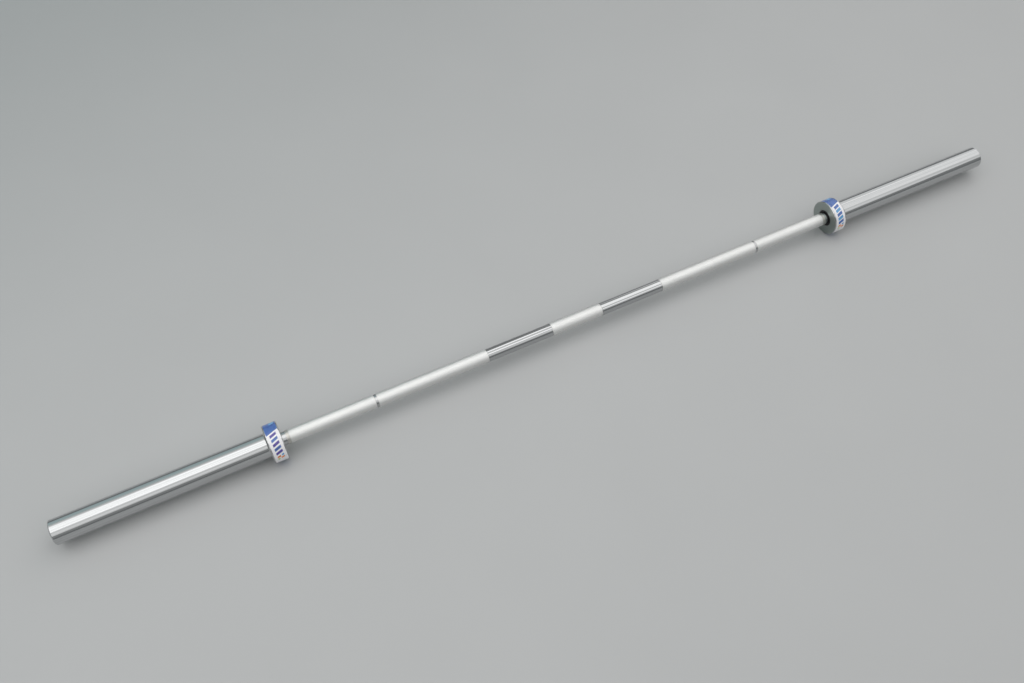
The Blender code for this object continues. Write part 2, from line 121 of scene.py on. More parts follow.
def soften(points, ring, steps=5, hold=0.12, span=math.inf):
    """Rounds the corners of a profile of (x, radius) or (x, radius, rounding) points.

    A short run is held flat on each side of a rounding, so that flat faces shade flat, and long
    runs are cut into spans.
    """
    out = []
    count = len(points)
    for n, point in enumerate(points):
        here = point[:2]
        inside = ring or 0 < n < count - 1
        if len(point) < 3 or not inside:
            out.append(here)
            continue
        back, back_length = unit(here, points[n - 1])
        ahead, ahead_length = unit(here, points[(n + 1) % count])
        half = math.acos(max(-1.0, min(1.0, back[0] * ahead[0] + back[1] * ahead[1]))) / 2
        run = min(point[2] / math.tan(half), 0.45 * back_length, 0.45 * ahead_length)
        radius = run * math.tan(half)
        middle = (back[0] + ahead[0], back[1] + ahead[1])
        size = math.hypot(*middle)
        reach = radius / math.sin(half) / size
        centre = (here[0] + middle[0] * reach, here[1] + middle[1] * reach)
        start = (here[0] + back[0] * run - centre[0], here[1] + back[1] * run - centre[1])
        end = (here[0] + ahead[0] * run - centre[0], here[1] + ahead[1] * run - centre[1])
        first = math.atan2(start[1], start[0])
        swing = math.atan2(end[1], end[0]) - first
        swing = (swing + math.pi) % (2 * math.pi) - math.pi
        if back_length > 2.5 * (run + hold):
            out.append((here[0] + back[0] * (run + hold), here[1] + back[1] * (run + hold)))
        for k in range(steps + 1):
            turn = first + swing * k / steps
            out.append((centre[0] + radius * math.cos(turn), centre[1] + radius * math.sin(turn)))
        if ahead_length > 2.5 * (run + hold):
            out.append((here[0] + ahead[0] * (run + hold), here[1] + ahead[1] * (run + hold)))
    cut = []
    for n, here in enumerate(out):
        cut.append(here)
        if n + 1 < len(out) or ring:
            there = out[(n + 1) % len(out)]
            parts = math.ceil(math.dist(here, there) / span)
            for k in range(1, parts):
                share = k / parts
                x = here[0] + (there[0] - here[0]) * share
                cut.append((x, here[1] + (there[1] - here[1]) * share))
    return cut


class Shape:
    """Vertices, faces, their places on the bake map and their material numbers."""

    def __init__(self):
        self.verts, self.faces, self.places, self.slots = [], [], [], []

    def add(self, verts, faces, places=None, slots=None, offset=(0.0, 0.0, 0.0)):
        start = len(self.verts)
        self.verts += [tuple((v[k] + offset[k]) * MM for k in range(3)) for v in verts]
        self.faces += [tuple(start + i for i in face) for face in faces]
        self.places += places or [None] * len(faces)
        self.slots += slots or [0] * len(faces)

    def piece(self, name, body, materials, replaces, slot, smooth=32.0):
        mesh = bpy.data.meshes.new(name)
        mesh.from_pydata(self.verts, [], self.faces)
        for material in materials:
            mesh.materials.append(material)
        mesh.polygons.foreach_set("material_index", self.slots)
        if all(self.places):
            layer = mesh.uv_layers.new(name=BAKE_MAP)
            flat = [c for places in self.places for place in places for c in place]
            layer.data.foreach_set("uv", flat)
        mesh.shade_smooth()
        mesh.set_sharp_from_angle(angle=math.radians(smooth))
        mesh.validate()
        obj = bpy.data.objects.new(name, mesh)
        bpy.context.scene.collection.objects.link(obj)
        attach(obj, body)
        if replaces:
            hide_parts(*replaces)
        return obj


def turned(profile, sides, ring=True, zone=None):
    """Turns a profile about the X axis. Returns verts, faces, places on the bake map and slots.

    A profile that isn't a ring starts and ends on the axis. zone gives the material number of a
    run of the profile from its middle point and its direction.
    """
    around = list(zip(profile, profile[1:] + profile[:1]))
    if sum(a[0] * b[1] - b[0] * a[1] for a, b in around) > 0:
        profile = profile[::-1]
        around = list(zip(profile, profile[1:] + profile[:1]))
    if not ring:
        around.pop()
    total = sum(math.dist(a, b) for a, b in around)
    widest = 2 * math.pi * max(r for x, r in profile)
    limit = total / max(1, round(math.sqrt(total / widest)))
    rows, row, reach = [], 0, 0.0
    for a, b in around:
        length = math.dist(a, b)
        if reach and reach + length > limit * 1.001:
            row, reach = row + 1, 0.0
        rows.append((row, reach, reach + length))
        reach += length
    longest = max(r[2] for r in rows)
    verts, rings = [], []
    for x, radius in profile:
        if radius < 1e-6:
            rings.append([len(verts)] * sides)
            verts.append((x, 0.0, 0.0))
            continue
        rings.append(range(len(verts), len(verts) + sides))
        for i in range(sides):
            turn = (i + 0.5) * 2 * math.pi / sides
            verts.append((x, radius * math.cos(turn), radius * math.sin(turn)))
    faces, places, slots = [], [], []
    for n, (a, b) in enumerate(around):
        near, far = rings[n], rings[(n + 1) % len(rings)]
        level, start, end = rows[n]
        middle = ((a[0] + b[0]) / 2, (a[1] + b[1]) / 2)
        kind = zone(middle, unit(a, b)[0]) if zone else 0
        u0, u1 = (BAKE_EDGE + BAKE_SPAN * s / longest for s in (start, end))
        for i in range(sides):
            j = (i + 1) % sides
            v0, v1 = ((level + 0.01 + 0.98 * k / sides) / (row + 1) for k in (i, i + 1))
            corners = [near[i], near[j], far[j], far[i]]
            spots = [(u0, v0), (u0, v1), (u1, v1), (u1, v0)]
            if near[i] == near[j]:
                del corners[1], spots[1]
            elif far[i] == far[j]:
                del corners[2], spots[2]
            faces.append(corners)
            places.append(spots)
            slots.append(kind)
    return verts, faces, places, slots


def knurl(start, end, number, count):
    """A closed ring of diamond knurling: blunt pyramids between two sets of crossing V grooves.

    Also returns the numbers of the vertices in the grooves, where the shading breaks.
    """
    columns = 2 * KNURL_AROUND
    rows = 2 * round((end - start) / KNURL_PITCH)
    verts, numbers, faces, places, grooves = [], {}, [], [], []

    def vertex(i, j, radius):
        key = (round(i, 2), round(j % columns, 2), radius)
        if key not in numbers:
            numbers[key] = len(verts)
            turn = 2 * math.pi * j / columns
            x = start + (end - start) * i / rows
            verts.append((x, radius * math.cos(turn), radius * math.sin(turn)))
            if radius == KNURL_VALLEY_R:
                grooves.append(numbers[key])
        return numbers[key]

    def face(*corners):
        faces.append([vertex(*corner) for corner in corners])
        places.append([
            (BAKE_EDGE + BAKE_SPAN * i / rows, (number + 0.01 + 0.97 * j / columns) / count)
            for i, j, _ in corners
        ])

    for i in range(rows + 1):
        for j in range(i % 2, columns, 2):
            low = [(max(i - 1, 0), j), (i, j + 1), (min(i + 1, rows), j), (i, j - 1)]
            low = [(*spot, KNURL_VALLEY_R) for spot in low]
            if i in (0, rows):
                face(*low)
                continue
            f = KNURL_FLAT
            high = [(i - f, j), (i, j + f), (i + f, j), (i, j - f)]
            high = [(*spot, KNURL_PEAK_R) for spot in high]
            face(*high)
            for k in range(4):
                m = (k + 1) % 4
                face(high[k], low[k], low[m], high[m])
    ends_from = 0.98  # where the ends and the inner wall start on the bake map
    inner = CORE_R - KNURL_SUNK
    for j in range(columns):
        rims = [(i, n, radius) for i, radius in ((0, inner), (0, KNURL_VALLEY_R),
                (rows, KNURL_VALLEY_R), (rows, inner)) for n in (j, j + 1)]
        for m, (a, b, d, c) in enumerate(((0, 1, 2, 3), (4, 5, 6, 7), (6, 7, 0, 1))):
            corners = [rims[a], rims[b], rims[c], rims[d]]
            faces.append([vertex(*corner) for corner in corners])
            low, high = (ends_from + 0.006 * (m + step) for step in (0.1, 0.9))
            u0, u1 = (BAKE_EDGE + BAKE_SPAN * n / columns for n in (j, j + 1))
            spots = [(u0, low), (u1, low), (u1, high), (u0, high)]
            places.append([(u, (number + v) / count) for u, v in spots])
    return verts, faces, places, [0] * len(faces), grooves


def arc_block(x0, x1, r0, r1, a0, a1):
    """A block bent round the X axis, between two radii and two angles."""
    steps = 4
    verts, faces = [], []
    for n in range(steps + 1):
        turn = a0 + (a1 - a0) * n / steps
        for x, radius in ((x0, r0), (x0, r1), (x1, r1), (x1, r0)):
            verts.append((x, radius * math.cos(turn), radius * math.sin(turn)))
    for n in range(steps):
        for k in range(4):
            m = (k + 1) % 4
            faces.append([4 * n + k, 4 * n + m, 4 * n + 4 + m, 4 * n + 4 + k])
    faces.append([3, 2, 1, 0])
    faces.append([4 * steps + k for k in range(4)])
    return verts, faces


class Surface:
    """Short calls for building a material's nodes from the piece's own coordinates."""

    def __init__(self, name, metallic, **values):
        self.material = bpy.data.materials.new(name)
        self.material.use_nodes = True
        self.tree = self.material.node_tree
        self.shader = self.tree.nodes["Principled BSDF"]
        self.shader.inputs["Metallic"].default_value = metallic
        for socket, value in values.items():
            self.shader.inputs[socket.replace("_", " ")].default_value = value
        self.spot = self.node("ShaderNodeTexCoord").outputs["Object"]
        parts = self.node("ShaderNodeSeparateXYZ", {0: self.spot}).outputs
        self.along, self.across, self.up = parts[0], parts[1], parts[2]

    def node(self, kind, inputs=None, **settings):
        made = self.tree.nodes.new(kind)
        for key, value in settings.items():
            setattr(made, key, value)
        for key, value in (inputs or {}).items():
            self.feed(made.inputs[key], value)
        return made

    def feed(self, socket, value):
        if isinstance(value, bpy.types.NodeSocket):
            self.tree.links.new(value, socket)
        else:
            socket.default_value = value

    def math(self, operation, *values):
        inputs = dict(enumerate(values))
        return self.node("ShaderNodeMath", inputs, operation=operation).outputs[0]

    def radius(self):
        squares = [self.math("MULTIPLY", part, part) for part in (self.across, self.up)]
        return self.math("SQRT", self.math("ADD", *squares))

    def noise(self, stretch, detail, rough):
        """Noise with so many features a metre along X, Y and Z."""
        scaled = self.node("ShaderNodeVectorMath", {0: self.spot, 1: stretch}, operation="MULTIPLY")
        inputs = {"Vector": scaled.outputs[0], "Scale": 1.0, "Detail": detail, "Roughness": rough}
        return self.node("ShaderNodeTexNoise", inputs).outputs[0]

    def ranged(self, value, low, high, out_low, out_high):
        inputs = {0: value, 1: low, 2: high, 3: out_low, 4: out_high}
        return self.node("ShaderNodeMapRange", inputs, clamp=True).outputs[0]

    def blend(self, factor, first, second):
        made = self.node("ShaderNodeMix", data_type="RGBA")
        for socket, value in ((0, factor), (6, first), (7, second)):
            if isinstance(value, tuple):
                value = (*value, 1.0)
            self.feed(made.inputs[socket], value)
        return made.outputs[2]

    def bump(self, height, distance, strength, under=None):
        inputs = {"Height": height, "Distance": distance, "Strength": strength}
        if under:
            inputs["Normal"] = under
        return self.node("ShaderNodeBump", inputs).outputs[0]

    def finish(self, colour, roughness, normal=None):
        for socket, value in (("Base Color", colour), ("Roughness", roughness), ("Normal", normal)):
            if value is not None:
                self.feed(self.shader.inputs[socket], value)
        return self.material


def polished_chrome(name, tone, low, high, streak):
    """Hard chrome over ground steel: lengthwise slide marks, fine grinding rings and soft smudges."""
    s = Surface(name, 1.0)
    slides = s.noise((1.6, 420.0, 420.0), 3.0, 0.6)
    rings = s.noise((1900.0, 50.0, 50.0), 2.0, 0.6)
    smudges = s.noise((9.0, 28.0, 28.0), 3.0, 0.55)
    pale = tuple(c * tone for c in (0.985, 1.0, 1.01))
    deep = tuple(c * (1.0 - streak) for c in pale)
    colour = s.blend(s.ranged(slides, 0.35, 0.65, 0.0, 1.0), deep, pale)
    worn = s.math("ADD", s.math("MULTIPLY", slides, 0.45), s.math("MULTIPLY", smudges, 0.55))
    roughness = s.ranged(worn, 0.35, 0.65, low, high)
    ground = s.bump(rings, 0.00001, 0.25)
    return s.finish(colour, roughness, s.bump(slides, 0.00002, 0.35, ground))


def turned_face(name, tone, roughness):
    """A lathe-turned face: rings about the axis, dulled unevenly."""
    s = Surface(name, 1.0, Anisotropic=0.55)
    away = s.radius()
    scaled = s.node("ShaderNodeCombineXYZ", {0: s.math("MULTIPLY", away, 2600.0)})
    inputs = {"Vector": scaled.outputs[0], "Scale": 1.0, "Detail": 3.0, "Roughness": 0.65}
    rings = s.node("ShaderNodeTexNoise", inputs).outputs[0]
    smudges = s.noise((30.0, 45.0, 45.0), 3.0, 0.6)
    colour = s.blend(smudges, tuple(0.86 * c for c in tone), tone)
    s.feed(s.shader.inputs["Tangent"], s.node("ShaderNodeTangent", axis="X").outputs[0])
    return s.finish(colour, s.ranged(smudges, 0.3, 0.7, roughness, roughness * 1.35),
                    s.bump(rings, 0.00003, 0.5))


def knurled_chrome():
    """Satin chrome on the knurling: bright on the diamonds' worn points, and darker down in the grooves,
    partly dust and partly painted shade.
    """
    s = Surface("knurled_chrome", 1.0)
    up_from_groove = s.ranged(s.radius(), KNURL_VALLEY_R * MM, KNURL_PEAK_R * MM, 0.0, 1.0)
    patches = s.noise((14.0, 60.0, 60.0), 3.0, 0.6)
    grain = s.noise((1500.0, 1500.0, 1500.0), 2.0, 0.5)
    worn = s.blend(patches, (0.87, 0.87, 0.865), (0.92, 0.92, 0.915))
    # the dark colour down in the grooves is partly dust and partly painted shade
    colour = s.blend(s.math("POWER", up_from_groove, 0.6), (0.58, 0.58, 0.565), worn)
    roughness = s.ranged(s.math("MULTIPLY_ADD", patches, 0.4, up_from_groove), 0.1, 1.3, 0.54, 0.42)
    return s.finish(colour, roughness, s.bump(grain, 0.00002, 0.4))


def printed_film(name, colour, shade):
    """Glossy printed film, with a slight orange peel and handling marks."""
    s = Surface(name, 0.0, Coat_Weight=0.6, Coat_Roughness=0.08, IOR=1.5)
    peel = s.noise((600.0, 600.0, 600.0), 2.0, 0.5)
    marks = s.noise((90.0, 90.0, 90.0), 4.0, 0.65)
    mottled = s.blend(s.ranged(marks, 0.35, 0.65, 0.0, 1.0), tuple(c * shade for c in colour), colour)
    return s.finish(mottled, s.ranged(marks, 0.3, 0.7, 0.22, 0.36), s.bump(peel, 0.00003, 0.35))


def steel(name, colour, low, high, lines, metallic=1.0):
    """Bare or treated steel with machining lines round the axis and a mottled surface."""
    s = Surface(name, metallic)
    cuts = s.noise((lines, 40.0, 40.0), 3.0, 0.6)
    stains = s.noise((70.0, 110.0, 110.0), 4.0, 0.6)
    mottled = s.blend(stains, tuple(0.80 * c for c in colour), colour)
    return s.finish(mottled, s.ranged(stains, 0.3, 0.7, low, high), s.bump(cuts, 0.00003, 0.4))


def oiled_bronze():
    """Sintered bronze: warm metal with fine dark pores that hold oil."""
    s = Surface("oiled_bronze", 1.0)
    pores = s.noise((1400.0, 1400.0, 1400.0), 2.0, 0.5)
    stains = s.noise((60.0, 90.0, 90.0), 4.0, 0.6)
    warm = s.blend(stains, (0.52, 0.32, 0.14), (0.70, 0.46, 0.22))
    colour = s.blend(s.ranged(pores, 0.60, 0.72, 0.0, 1.0), warm, (0.10, 0.06, 0.03))
    return s.finish(colour, s.ranged(stains, 0.3, 0.7, 0.28, 0.45), s.bump(pores, 0.00004, 0.5))


def seal_rubber():
    """Black moulded rubber with a faint bloom and rings from its mould."""
    s = Surface("seal_rubber", 0.0, IOR=1.5)
    grain = s.noise((900.0, 900.0, 900.0), 3.0, 0.6)
    bloom = s.noise((120.0, 120.0, 120.0), 4.0, 0.65)
    away = s.math("MULTIPLY", s.radius(), 2 * math.pi / (0.8 * MM))
    moulded = s.math("ADD", grain, s.math("MULTIPLY", s.math("SINE", away), 0.3))
    colour = s.blend(s.ranged(bloom, 0.45, 0.75, 0.0, 1.0), (0.012, 0.012, 0.013), (0.045, 0.045, 0.047))
    return s.finish(colour, s.ranged(bloom, 0.3, 0.7, 0.42, 0.66), s.bump(moulded, 0.00005, 0.5))


SLEEVE_CHROME = polished_chrome("sleeve_chrome", 0.575, 0.03, 0.11, 0.12)
SHAFT_CHROME = polished_chrome("shaft_chrome", 0.50, 0.03, 0.09, 0.08)
KNURLED = knurled_chrome()
SATIN = steel("satin_chrome", (0.66, 0.645, 0.61), 0.34, 0.46, 1300.0)
# the collar's inboard face has a darker, greener tone than the sleeve's end face: painted shade
COLLAR_FACE_SHADED = turned_face("collar_face_painted_shade", (0.40, 0.445, 0.425), 0.30)
END_FACE_FINISH = turned_face("sleeve_end_face", (0.66, 0.67, 0.68), 0.22)
BORED = steel("bored_steel", (0.40, 0.41, 0.42), 0.32, 0.5, 900.0)
PLUG_FINISH = turned_face("plug_steel", (0.62, 0.63, 0.64), 0.26)
HARD_STEEL = steel("bearing_steel", (0.58, 0.59, 0.60), 0.18, 0.32, 1500.0)
CUP_STEEL = steel("bearing_cup_steel", (0.50, 0.51, 0.53), 0.25, 0.38, 1100.0)
NEEDLE_STEEL = steel("needle_steel", (0.70, 0.71, 0.72), 0.10, 0.2, 700.0)
TUBE_STEEL = steel("tube_steel", (0.40, 0.41, 0.43), 0.32, 0.5, 800.0)
SPRING_STEEL = steel("spring_steel", (0.16, 0.16, 0.168), 0.34, 0.5, 300.0, 0.9)
BRONZE = oiled_bronze()
RUBBER = seal_rubber()
FILM = {
    "ground": printed_film("film_white", (0.81, 0.80, 0.82), 0.97),
    "blue": printed_film("film_blue", (0.06, 0.14, 0.42), 0.80),
    "violet": printed_film("film_violet", (0.08, 0.055, 0.32), 0.80),
    "sky": printed_film("film_sky", (0.12, 0.36, 0.66), 0.85),
    "orange": printed_film("film_orange", (0.80, 0.24, 0.035), 0.85),
    "green": printed_film("film_green", (0.45, 0.60, 0.20), 0.85),
    "seam": printed_film("film_seam", (0.10, 0.10, 0.11), 0.9),
}
INKS = list(FILM)
FIRST_INK = {"left": 36, "right": 216}  # where each print starts, in degrees round its collar


# The shaft: one turned core with its smooth runs, journals and grooves, and the knurled bands on it
def shaft_core():
    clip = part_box("right_shaft_circlip")
    groove_in = clip[0].x / MM - SEAT_GAP
    groove_out = clip[1].x / MM + SEAT_GAP
    half = [
        (CENTRE_KNURL, CORE_R),
        (CENTRE_KNURL, SHAFT_R, STEP_EDGE),
        (GRIP_IN, SHAFT_R, STEP_EDGE),
        (GRIP_IN, CORE_R),
        (MARK_IN, CORE_R),
        (MARK_IN, SHAFT_R, STEP_EDGE),
        (MARK_OUT, SHAFT_R, STEP_EDGE),
        (MARK_OUT, CORE_R),
        (GRIP_OUT - RUN_OUT, CORE_R),
        (GRIP_OUT - RUN_OUT, RUN_OUT_R, 0.1),
        (GRIP_OUT, RUN_OUT_R, 0.06),
        (GRIP_OUT, SHAFT_R),
        (SHOULDER, SHAFT_R, 0.4),
        (SHOULDER, JOURNAL_R),
        (groove_in, JOURNAL_R),
        (groove_in, JOURNAL_R - SHAFT_GROOVE),
        (groove_out, JOURNAL_R - SHAFT_GROOVE),
        (groove_out, JOURNAL_R),
        (SHAFT_END - SHAFT_CHAMFER, JOURNAL_R, 0.3),
        (SHAFT_END, JOURNAL_R - SHAFT_CHAMFER, 0.3),
        (SHAFT_END, 0.0),
    ]
    points = [(-p[0], *p[1:]) for p in reversed(half)] + half

    def zone(middle, direction):
        if abs(middle[0]) > SHOULDER:
            return 1
        return 2 if GRIP_OUT - RUN_OUT < abs(middle[0]) < GRIP_OUT else 0

    shape = Shape()
    shape.add(*turned(soften(points, False, span=40.0), 144, False, zone))
    finishes = [SHAFT_CHROME, HARD_STEEL, SATIN]
    shape.piece("shaft_core", "shaft", finishes, ["shaft"], "shaft_chrome")


def knurled_bands():
    """The knurling on the shaft, shaded sharp down in its grooves."""
    for name, runs in (
        ("left_grip_knurl", ((RUN_OUT - GRIP_OUT, -MARK_OUT), (-MARK_IN, -GRIP_IN))),
        ("centre_knurl", ((-CENTRE_KNURL, CENTRE_KNURL),)),
        ("right_grip_knurl", ((GRIP_IN, MARK_IN), (MARK_OUT, GRIP_OUT - RUN_OUT))),
    ):
        shape, grooves = Shape(), set()
        for number, (start, end) in enumerate(runs):
            *parts, found = knurl(start, end, number, len(runs))
            grooves.update(len(shape.verts) + n for n in found)
            shape.add(*parts)
        mesh = shape.piece(name, "shaft", [KNURLED], (), "shaft_chrome").data
        for edge in mesh.edges:
            edge.use_edge_sharp = grooves.issuperset(edge.vertices)


# A sleeve's own pieces
def outboard(side, points):
    """A profile measured outboard from the collar's face, put at one end of the bar."""
    return [(SIDES[side] * (COLLAR_FACE + p[0]), *p[1:]) for p in points]


def sleeve(side):
    """A sleeve and its collar, as one turned piece."""
    recess = COLLAR_R - BAND_DEPTH
    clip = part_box("right_plug_circlip")
    groove_in = clip[0].x / MM - COLLAR_FACE - SEAT_GAP
    groove_out = clip[1].x / MM - COLLAR_FACE + SEAT_GAP
    points = [
        (0.0, SEAL_SEAT_R + MOUTH_CHAMFER, 0.1),
        (0.0, COLLAR_R - INBOARD_CHAMFER, 0.3),
        (INBOARD_CHAMFER, COLLAR_R, 0.3),
        (BAND_FROM, COLLAR_R, 0.1),
        (BAND_FROM, recess),
        (BAND_TO, recess),
        (BAND_TO, COLLAR_R, 0.1),
        (COLLAR_WIDTH - OUTBOARD_CHAMFER, COLLAR_R, 0.4),
        (COLLAR_WIDTH, COLLAR_R - OUTBOARD_CHAMFER, 0.4),
        (COLLAR_WIDTH, SLEEVE_R, ROOT_FILLET),
        (SLEEVE_LENGTH - END_CHAMFER, SLEEVE_R, 0.6),
        (SLEEVE_LENGTH, SLEEVE_R - END_CHAMFER, 0.4),
        (SLEEVE_LENGTH, PLUG_SEAT_R + MOUTH_CHAMFER, 0.1),
        (SLEEVE_LENGTH - MOUTH_CHAMFER, PLUG_SEAT_R),
        (groove_out, PLUG_SEAT_R),
        (groove_out, PLUG_SEAT_R + PLUG_GROOVE),
        (groove_in, PLUG_SEAT_R + PLUG_GROOVE),
        (groove_in, PLUG_SEAT_R),
        (SLEEVE_LENGTH - PLUG_SEAT_DEPTH, PLUG_SEAT_R),
        (SLEEVE_LENGTH - PLUG_SEAT_DEPTH, BORE_R),
        (SEAL_SEAT_DEPTH, BORE_R),
        (SEAL_SEAT_DEPTH, SEAL_SEAT_R),
        (MOUTH_CHAMFER, SEAL_SEAT_R),
    ]
    at_mouth, deeper_in = 19.2, 20.0  # the radii inside which the surface is bored

    def zone(middle, direction):
        away = abs(middle[0]) - COLLAR_FACE
        if middle[1] < at_mouth or (middle[1] < deeper_in and away > 1):
            return 3
        if abs(direction[0]) < 0.1:
            if away < 0.4:
                return 1
            if away > SLEEVE_LENGTH - 0.6:
                return 2
        return 0

    shape = Shape()
    shape.add(*turned(soften(outboard(side, points), True, span=30.0), 192, True, zone))
    finishes = [SLEEVE_CHROME, COLLAR_FACE_SHADED, END_FACE_FINISH, BORED]
    node = f"{side}_sleeve"
    shape.piece(f"{node}_turned", node, finishes, [node], "sleeve_chrome")


def band(side):
    """The printed film round the collar: its print is cut into the faces, so that it stays sharp."""
    low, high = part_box(f"{side}_marking_band")
    x0, x1 = low.x / MM, high.x / MM
    below_rim, thick = 0.1, 0.35
    outer = COLLAR_R - below_rim
    inner = outer - thick
    width = x1 - x0
    slant = -0.36 / outer  # radians of lean for each millimetre across the band
    degree = math.pi / 180
    longest_face = 2.0  # in degrees
    inks = []  # start and end in degrees, colour, first row of faces, and the row after the last
    for start, bars, bar in (
        (FIRST_INK[side], ("violet", "blue"), 8.2),
        (FIRST_INK[side] + 180, ("blue", "sky"), 10.0),
    ):
        inks.append((start + 6, start + 26, "sky", 4, 7))
        inks.append((start, start + 56, "blue", 0, 8))
        for k in range(5):
            left = start + 61 + 13.5 * k
            inks.append((left, left + bar, bars[k % 2], 2, 6))
        inks.append((start + 129, start + 136, "orange", 2, 4))
        inks.append((start + 129, start + 136, "sky", 5, 6))
        inks.append((start + 138, start + 145, "green", 2, 3))
        inks.append((start + 138, start + 145, "orange", 4, 6))
    inks.append((305.0, 305.5, "seam", 0, 8))
    rows = [width * k for k in (0.0, 0.10, 0.22, 0.39, 0.50, 0.61, 0.78, 0.90, 1.0)]
    edges = sorted({a % 360 for ink in inks for a in ink[:2]})
    turns = []
    for here, there in zip(edges, edges[1:] + [edges[0] + 360]):
        parts = math.ceil((there - here) / longest_face)
        turns += [here + (there - here) * k / parts for k in range(parts)]

    def ink(turn, row):
        for start, end, colour, bottom, top in inks:
            if (turn - start) % 360 < end - start and bottom <= row < top:
                return INKS.index(colour)
        return 0

    verts, faces, places, slots = [], [], [], []
    count = len(turns)
    for across in rows:
        lean = slant * (across - width / 2)
        for turn in turns:
            angle = turn * degree + lean
            verts.append((x0 + across, outer * math.cos(angle), outer * math.sin(angle)))
    for across in (rows[-1], rows[0]):
        lean = slant * (across - width / 2)
        for turn in turns:
            angle = turn * degree + lean
            verts.append((x0 + across, inner * math.cos(angle), inner * math.sin(angle)))
    levels = len(rows) + 2
    places_v = [0.92 * a / width for a in rows] + [0.94, 0.98, 1.0]
    for level in range(levels):
        above = (level + 1) % levels
        for n in range(count):
            m = (n + 1) % count
            after = turns[m] if m else turns[0] + 360
            faces.append([level * count + n, level * count + m, above * count + m, above * count + n])
            u0, u1 = (t / 361.0 - turns[0] / 361.0 for t in (turns[n], after))
            v0, v1 = places_v[level], places_v[level + 1]
            places.append([(u0, v0), (u1, v0), (u1, v1), (u0, v1)])
            middle = (turns[n] + after) / 2 % 360
            slots.append(ink(middle, level) if level < len(rows) - 1 else 0)
    shape = Shape()
    shape.add(verts, faces, places, slots)
    node = f"{side}_marking_band"
    shape.piece(f"{side}_band_film", f"{side}_sleeve", list(FILM.values()), [node], "marking_band")


def dust_seal(side):
    """The seal in the collar's mouth: a ring with a lip that reaches almost to the shaft."""
    points = [
        (0.8, 18.7, 0.4),
        (0.8, 16.9, 0.35),
        (1.5, 16.2, 0.2),
        (1.5, 15.6, 0.2),
        (1.0, 15.3, 0.25),
        (2.2, 14.3, 0.15),
        (3.2, 14.3, 0.2),
        (3.2, 15.4, 0.3),
        (5.7, 15.4, 0.3),
        (5.7, 18.7, 0.3),
    ]
    shape = Shape()
    shape.add(*turned(soften(outboard(side, points), True, steps=4, hold=0.05), 128))
    shape.piece(f"{side}_seal_lip", f"{side}_sleeve", [RUBBER], [f"{side}_dust_seal"], "seal_rubber")


def ring_piece(side, part, inner, finish, slot):
    """A washer, bushing or tube that takes its place and outside from the frame."""
    low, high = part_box(f"{side}_{part}")
    x0, x1, outer = low.x / MM, high.x / MM, high.z / MM
    edge = 0.3
    points = [(x0, inner, edge), (x0, outer, edge), (x1, outer, edge), (x1, inner, edge)]
    shape = Shape()
    shape.add(*turned(soften(points, True, steps=3, span=30.0), 96))
    name = f"{side}_{part}_ring"
    shape.piece(name, f"{side}_sleeve", [finish], [f"{side}_{part}"], slot)


def bearing(side, number):
    """A drawn cup, and its cage with its needles as a second piece."""
    part = f"{side}_bearing_cup_{number}"
    low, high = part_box(part)
    x0, x1, outer = low.x / MM, high.x / MM, high.z / MM
    lip, race, thick = 13.3, 15.0, 0.8
    points = [
        (x0, lip, 0.2),
        (x0, outer, 0.6),
        (x1, outer, 0.6),
        (x1, lip, 0.2),
        (x1 - thick, lip, 0.2),
        (x1 - thick, race, 0.2),
        (x0 + thick, race, 0.2),
        (x0 + thick, lip, 0.2),
    ]
    shape = Shape()
    shape.add(*turned(soften(points, True, steps=4), 96))
    shape.piece(f"{part}_drawn", f"{side}_sleeve", [CUP_STEEL], [part], "bearing_steel")

    part = f"{side}_needle_cage_{number}"
    low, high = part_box(part)
    x0, x1 = low.x / MM, high.x / MM
    rim, web, end_gap = 1.3, 0.45, 0.2
    inside, outside = 12.95, 14.6
    shape = Shape()
    for start, end in ((x0, x0 + rim), (x1 - rim, x1)):
        points = [(start, inside, 0.2), (start, outside, 0.2), (end, outside, 0.2), (end, inside, 0.2)]
        verts, faces, _, _ = turned(soften(points, True, steps=3), 72)
        shape.add(verts, faces)
    for n in range(NEEDLES):
        middle = 2 * math.pi * n / NEEDLES
        half_gap = (NEEDLE_R + POCKET_GAP) / PITCH_R
        turns = (middle + half_gap, middle + 2 * math.pi / NEEDLES - half_gap)
        shape.add(*arc_block(x0 + rim, x1 - rim, PITCH_R - web, PITCH_R + web, *turns))
        ends = (x0 + rim + end_gap, x1 - rim - end_gap)
        points = [(ends[0], 0.0), (ends[0], NEEDLE_R, 0.35), (ends[1], NEEDLE_R, 0.35), (ends[1], 0.0)]
        verts, faces, _, _ = turned(soften(points, False, steps=3), 20, False)
        offset = (0.0, PITCH_R * math.cos(middle), PITCH_R * math.sin(middle))
        shape.add(verts, faces, None, [1] * len(faces), offset)
    finishes = [HARD_STEEL, NEEDLE_STEEL]
    shape.piece(f"{part}_rollers", f"{side}_cages", finishes, [part], "bearing_steel")


def end_plug(side):
    """The plug in the sleeve's mouth: a hollow cap whose front has a rim and a centre mark."""
    low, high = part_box(f"{side}_end_plug")
    away = sorted((abs(low.x) / MM - COLLAR_FACE, abs(high.x) / MM - COLLAR_FACE))
    back, front, outer = away[0], away[1], high.z / MM
    floor, wall = 3.0, 2.5
    points = [
        (front - floor, 0.0),
        (front - floor, outer - wall),
        (back, outer - wall),
        (back, outer, 0.3),
        (front, outer, 0.8),
        (front, 13.4, 0.2),
        (front - 0.5, 12.9, 0.2),
        (front - 0.5, 2.6, 0.2),
        (front - 1.7, 1.4, 0.1),
        (front - 1.7, 0.0),
    ]
    shape = Shape()
    shape.add(*turned(soften(outboard(side, points), False, steps=4), 128, False))
    node = f"{side}_end_plug"
    shape.piece(f"{node}_turned", f"{side}_sleeve", [PLUG_FINISH], [node], "plug_steel")


